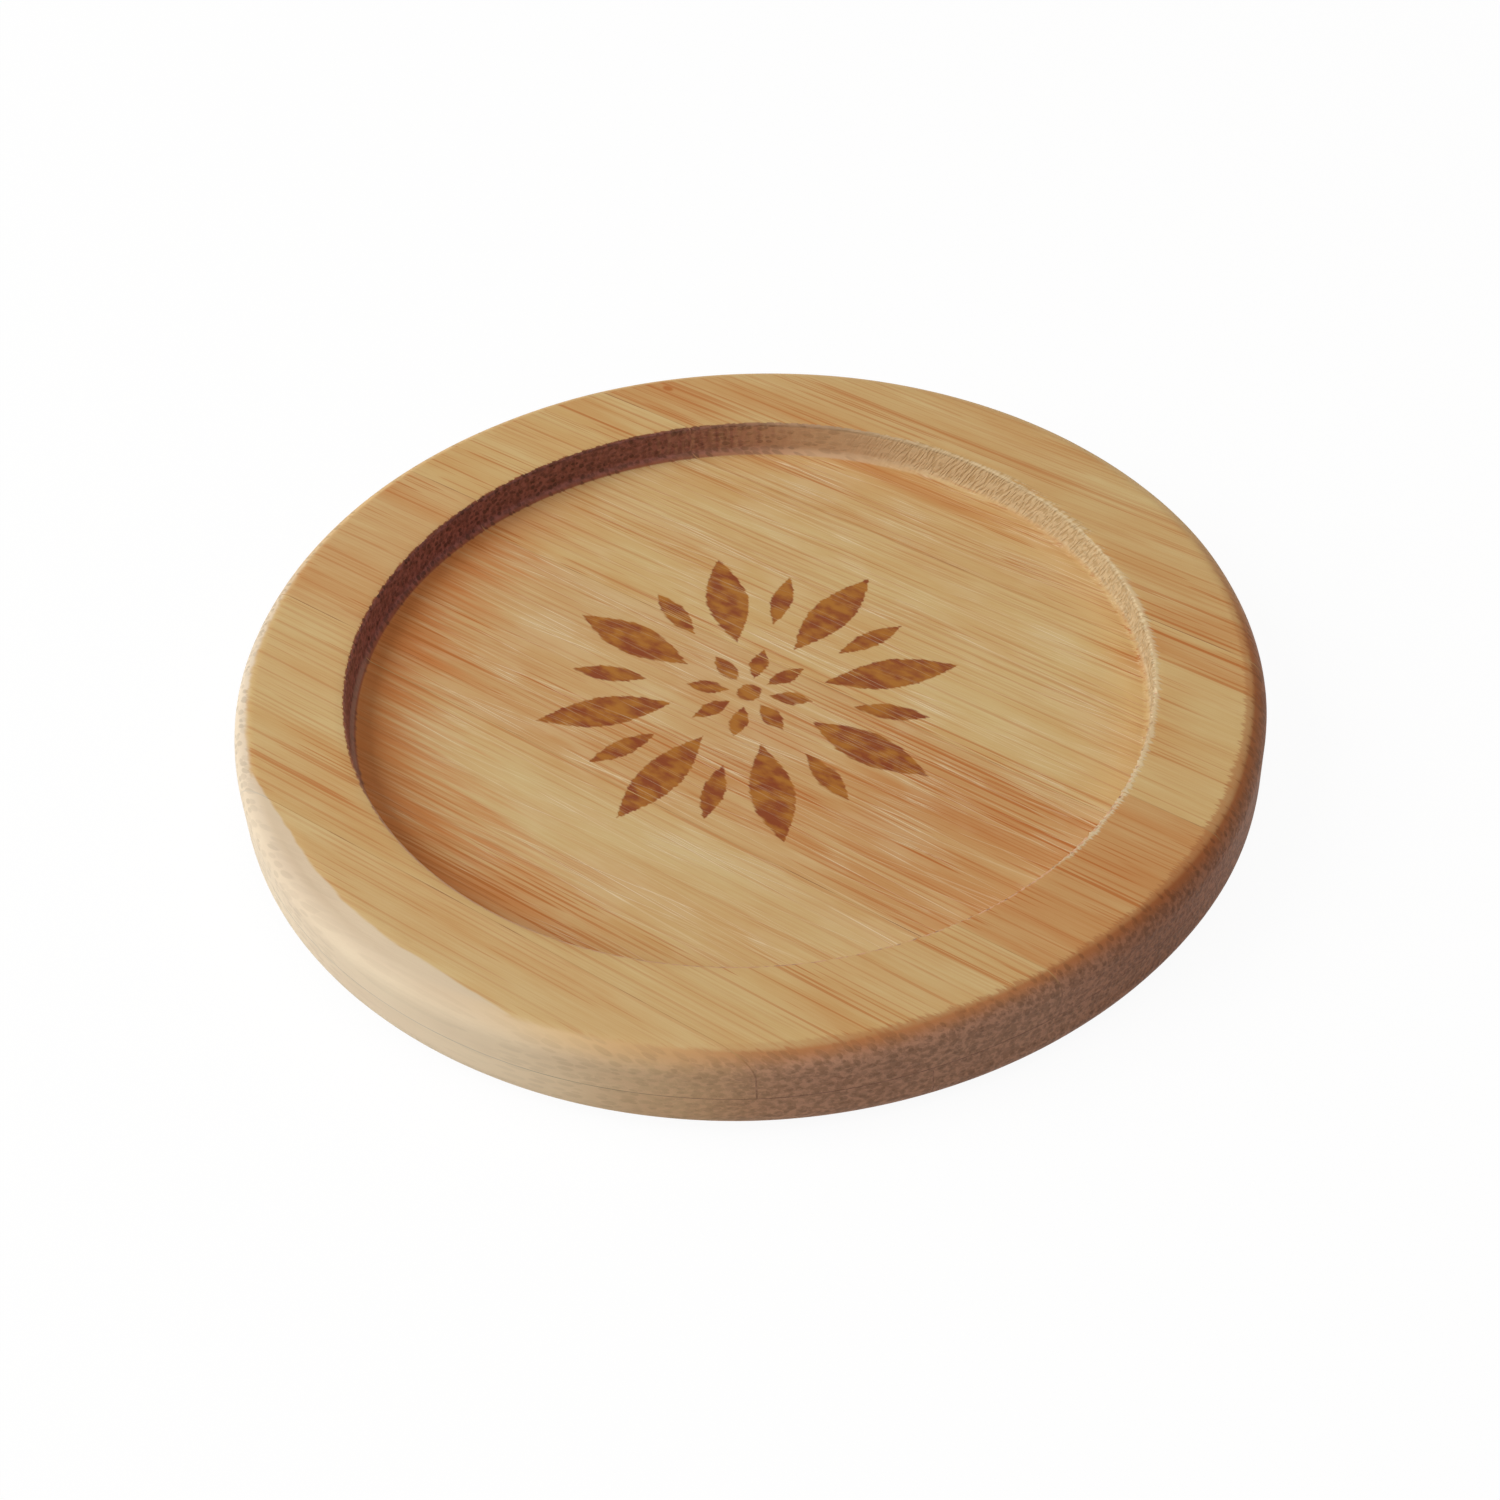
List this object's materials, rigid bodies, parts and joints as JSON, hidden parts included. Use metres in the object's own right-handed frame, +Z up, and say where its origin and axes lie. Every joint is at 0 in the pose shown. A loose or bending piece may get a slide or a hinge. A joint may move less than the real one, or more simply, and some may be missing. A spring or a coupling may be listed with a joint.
{
  "type": "drink coaster",
  "caption": "Round two-ply laminated bamboo coaster with rounded outer edges and a shallow round recess that holds the foot of a cup or glass.",
  "frame": {"origin": "centre of the flat underside, on the surface that the coaster stands on", "axes": "+Z up through the middle of the recess, +X along the grain of the strips, +Y across the strips towards the first strip of each ply"},
  "size_m": [0.1, 0.1, 0.0095],
  "materials": {
    "bamboo_pale": "sanded, thin satin oil",
    "bamboo_tan": "sanded, thin satin oil",
    "bamboo_red_brown": "sanded, thin satin oil",
    "cured_glue": "matt"
  },
  "bodies": {
    "root": {"top_strip_1": "bamboo_tan", "top_strip_2": "bamboo_pale", "top_strip_3": "bamboo_red_brown", "top_strip_4": "bamboo_pale", "top_strip_5": "bamboo_pale", "base_strip_1": "bamboo_tan", "base_strip_2": "bamboo_red_brown", "base_strip_3": "bamboo_pale", "base_strip_4": "bamboo_tan", "base_strip_5": "bamboo_pale", "ply_glue_layer": "cured_glue", "top_seam_glue": "cured_glue", "base_seam_glue": "cured_glue"}
  },
  "joints": []
}
